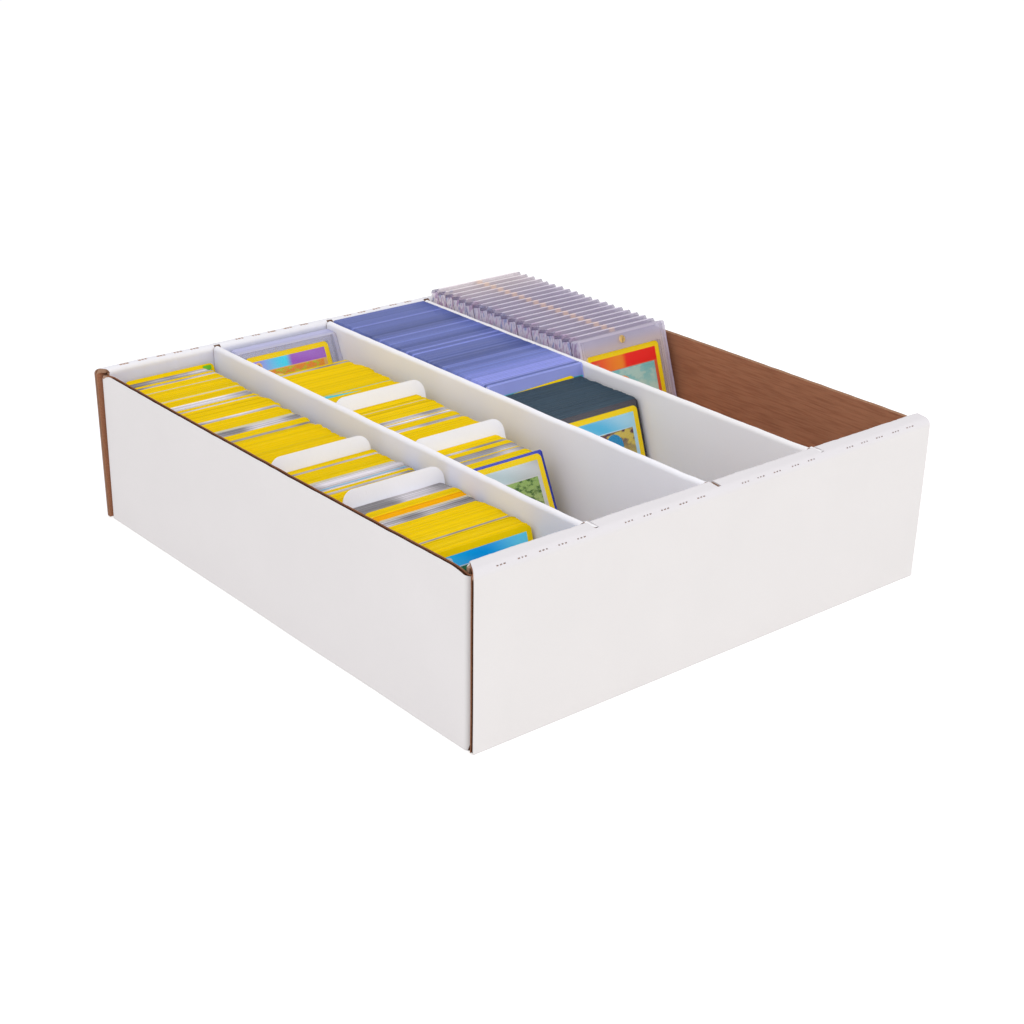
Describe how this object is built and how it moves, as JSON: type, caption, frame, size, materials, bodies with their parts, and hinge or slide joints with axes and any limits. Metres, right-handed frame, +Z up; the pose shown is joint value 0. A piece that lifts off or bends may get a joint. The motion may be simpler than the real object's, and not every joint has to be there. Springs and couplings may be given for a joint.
{
  "type": "card storage box",
  "caption": "Open corrugated board tray with folded dividers between its rows, filled with trading cards, index tabs, card sheaths, sleeves and magnetic card holders.",
  "frame": {"origin": "centre of the underside of the tray", "axes": "+X across the rows to the right long wall, +Y along the rows to the far end wall that the cards lean on, +Z up"},
  "size_m": [0.336, 0.376, 0.1079],
  "materials": {
    "white_board": "matt white liner outside, brown kraft inside",
    "card_stock": "satin coated card",
    "white_index_plastic": "matt",
    "gold_magnet": "gold plated",
    "slate_sleeve": "soft satin film",
    "blue_sleeve": "soft satin film",
    "blue_toploader": "clear glossy plastic, tinted blue at its edges",
    "clear_toploader": "clear glossy plastic",
    "clear_acrylic": "clear acrylic, polished"
  },
  "bodies": {
    "tray": {"bottom_panel": "white_board", "left_side_wall": "white_board", "right_side_wall": "white_board", "left_near_corner_flap": "white_board", "left_far_corner_flap": "white_board", "right_near_corner_flap": "white_board", "right_far_corner_flap": "white_board", "near_end_outer_panel": "white_board", "near_end_top_strip": "white_board", "near_end_inner_panel": "white_board", "far_end_outer_panel": "white_board", "far_end_top_strip": "white_board", "far_end_inner_panel": "white_board"},
    "left_divider": {"left_divider": "white_board"},
    "middle_divider": {"middle_divider": "white_board"},
    "right_divider": {"right_divider": "white_board"},
    "row_1_card_pack_1": {"row_1_card_pack_1": "card_stock"},
    "row_1_card_pack_2": {"row_1_card_pack_2": "card_stock"},
    "row_1_card_pack_3": {"row_1_card_pack_3": "card_stock"},
    "row_1_card_pack_4": {"row_1_card_pack_4": "card_stock"},
    "row_1_index_tab_1": {"row_1_index_tab_1": "white_index_plastic"},
    "row_1_index_tab_2": {"row_1_index_tab_2": "white_index_plastic"},
    "row_1_front_card": {"row_1_front_card": "card_stock"},
    "row_2_toploader_stack": {"row_2_toploader_stack": "clear_toploader"},
    "row_2_toploader": {"row_2_toploader_back": "clear_toploader", "row_2_toploader_front": "clear_toploader"},
    "row_2_toploader_card": {"row_2_toploader_card": "card_stock"},
    "row_2_card_pack_1": {"row_2_card_pack_1": "card_stock"},
    "row_2_card_pack_2": {"row_2_card_pack_2": "card_stock"},
    "row_2_card_pack_3": {"row_2_card_pack_3": "card_stock"},
    "row_2_index_tab_1": {"row_2_index_tab_1": "white_index_plastic"},
    "row_2_index_tab_2": {"row_2_index_tab_2": "white_index_plastic"},
    "row_2_sleeve": {"row_2_sleeve_back": "blue_sleeve", "row_2_sleeve_front": "blue_sleeve"},
    "row_2_sleeve_card": {"row_2_sleeve_card": "card_stock"},
    "row_3_toploader_stack": {"row_3_toploader_stack": "blue_toploader"},
    "row_3_toploader": {"row_3_toploader_back": "blue_toploader", "row_3_toploader_front": "blue_toploader"},
    "row_3_toploader_card": {"row_3_toploader_card": "card_stock"},
    "row_3_sleeved_pack": {"row_3_sleeved_pack": "slate_sleeve"},
    "row_3_sleeve": {"row_3_sleeve_back": "slate_sleeve", "row_3_sleeve_front": "slate_sleeve"},
    "row_3_sleeve_card": {"row_3_sleeve_card": "card_stock"},
    "holder_stack": {"holder_stack_backs": "clear_acrylic", "holder_stack_covers": "clear_acrylic", "holder_stack_back_magnets": "gold_magnet", "holder_stack_cover_magnets": "gold_magnet", "holder_stack_cards": "card_stock"},
    "front_holder": {"front_holder_back": "clear_acrylic", "front_holder_back_magnet": "gold_magnet", "front_holder_card": "card_stock"},
    "front_holder_cover": {"front_holder_cover": "clear_acrylic", "front_holder_cover_magnet": "gold_magnet"}
  },
  "joints": [
    {"name": "left_divider_lift", "type": "slide", "parent": "tray", "child": "left_divider", "axis": [0, 0, 1], "range_m": [0, 0.11]},
    {"name": "middle_divider_lift", "type": "slide", "parent": "tray", "child": "middle_divider", "axis": [0, 0, 1], "range_m": [0, 0.11]},
    {"name": "right_divider_lift", "type": "slide", "parent": "tray", "child": "right_divider", "axis": [0, 0, 1], "range_m": [0, 0.11]},
    {"name": "row_1_card_pack_1_lift", "type": "slide", "parent": "tray", "child": "row_1_card_pack_1", "axis": [0, 0.2756, 0.9613], "range_m": [0, 0.11]},
    {"name": "row_1_card_pack_2_lift", "type": "slide", "parent": "tray", "child": "row_1_card_pack_2", "axis": [0, 0.2756, 0.9613], "range_m": [0, 0.11]},
    {"name": "row_1_card_pack_3_lift", "type": "slide", "parent": "tray", "child": "row_1_card_pack_3", "axis": [0, 0.2756, 0.9613], "range_m": [0, 0.11]},
    {"name": "row_1_card_pack_4_lift", "type": "slide", "parent": "tray", "child": "row_1_card_pack_4", "axis": [0, 0.2756, 0.9613], "range_m": [0, 0.11]},
    {"name": "row_1_index_tab_1_lift", "type": "slide", "parent": "tray", "child": "row_1_index_tab_1", "axis": [0, 0.2756, 0.9613], "range_m": [0, 0.11]},
    {"name": "row_1_index_tab_2_lift", "type": "slide", "parent": "tray", "child": "row_1_index_tab_2", "axis": [0, 0.2756, 0.9613], "range_m": [0, 0.11]},
    {"name": "row_1_front_card_lift", "type": "slide", "parent": "tray", "child": "row_1_front_card", "axis": [0, 0.2756, 0.9613], "range_m": [0, 0.11]},
    {"name": "row_2_toploader_stack_lift", "type": "slide", "parent": "tray", "child": "row_2_toploader_stack", "axis": [0, 0.4147, 0.91], "range_m": [0, 0.11]},
    {"name": "row_2_toploader_lift", "type": "slide", "parent": "tray", "child": "row_2_toploader", "axis": [0, 0.4147, 0.91], "range_m": [0, 0.11]},
    {"name": "row_2_toploader_card_pull", "type": "slide", "parent": "row_2_toploader", "child": "row_2_toploader_card", "axis": [0, 0.4147, 0.91], "range_m": [0, 0.09]},
    {"name": "row_2_card_pack_1_lift", "type": "slide", "parent": "tray", "child": "row_2_card_pack_1", "axis": [0, 0.3338, 0.9426], "range_m": [0, 0.11]},
    {"name": "row_2_card_pack_2_lift", "type": "slide", "parent": "tray", "child": "row_2_card_pack_2", "axis": [0, 0.3338, 0.9426], "range_m": [0, 0.11]},
    {"name": "row_2_card_pack_3_lift", "type": "slide", "parent": "tray", "child": "row_2_card_pack_3", "axis": [0, 0.3338, 0.9426], "range_m": [0, 0.11]},
    {"name": "row_2_index_tab_1_lift", "type": "slide", "parent": "tray", "child": "row_2_index_tab_1", "axis": [0, 0.3338, 0.9426], "range_m": [0, 0.11]},
    {"name": "row_2_index_tab_2_lift", "type": "slide", "parent": "tray", "child": "row_2_index_tab_2", "axis": [0, 0.3338, 0.9426], "range_m": [0, 0.11]},
    {"name": "row_2_sleeve_tip", "type": "hinge", "parent": "tray", "child": "row_2_sleeve", "pos_m": [-0.04975, -0.09813, 0.0034], "axis": [1, 0, 0], "range_deg": [0, 60]},
    {"name": "row_2_sleeve_card_pull", "type": "slide", "parent": "row_2_sleeve", "child": "row_2_sleeve_card", "axis": [0, 0.4226, 0.9063], "range_m": [0, 0.09]},
    {"name": "row_3_toploader_stack_lift", "type": "slide", "parent": "tray", "child": "row_3_toploader_stack", "axis": [0, 0.3007, 0.9537], "range_m": [0, 0.11]},
    {"name": "row_3_toploader_lift", "type": "slide", "parent": "tray", "child": "row_3_toploader", "axis": [0, 0.3007, 0.9537], "range_m": [0, 0.11]},
    {"name": "row_3_toploader_card_pull", "type": "slide", "parent": "row_3_toploader", "child": "row_3_toploader_card", "axis": [0, 0.3007, 0.9537], "range_m": [0, 0.09]},
    {"name": "row_3_sleeved_pack_lift", "type": "slide", "parent": "tray", "child": "row_3_sleeved_pack", "axis": [0, 0.3007, 0.9537], "range_m": [0, 0.11]},
    {"name": "row_3_sleeve_tip", "type": "hinge", "parent": "tray", "child": "row_3_sleeve", "pos_m": [0.04195, -0.07097, 0.0033], "axis": [1, 0, 0], "range_deg": [0, 60]},
    {"name": "row_3_sleeve_card_pull", "type": "slide", "parent": "row_3_sleeve", "child": "row_3_sleeve_card", "axis": [0, 0.3173, 0.9483], "range_m": [0, 0.09]},
    {"name": "holder_stack_lift", "type": "slide", "parent": "tray", "child": "holder_stack", "axis": [0, 0.309, 0.9511], "range_m": [0, 0.11]},
    {"name": "front_holder_tip", "type": "hinge", "parent": "tray", "child": "front_holder", "pos_m": [0.125, 0.00114, 0.003], "axis": [1, 0, 0], "range_deg": [0, 18]},
    {"name": "front_holder_cover_open", "type": "hinge", "parent": "front_holder", "child": "front_holder_cover", "pos_m": [0.125, -0.00551, 0.00516], "axis": [1, 0, 0], "range_deg": [0, 88]}
  ]
}
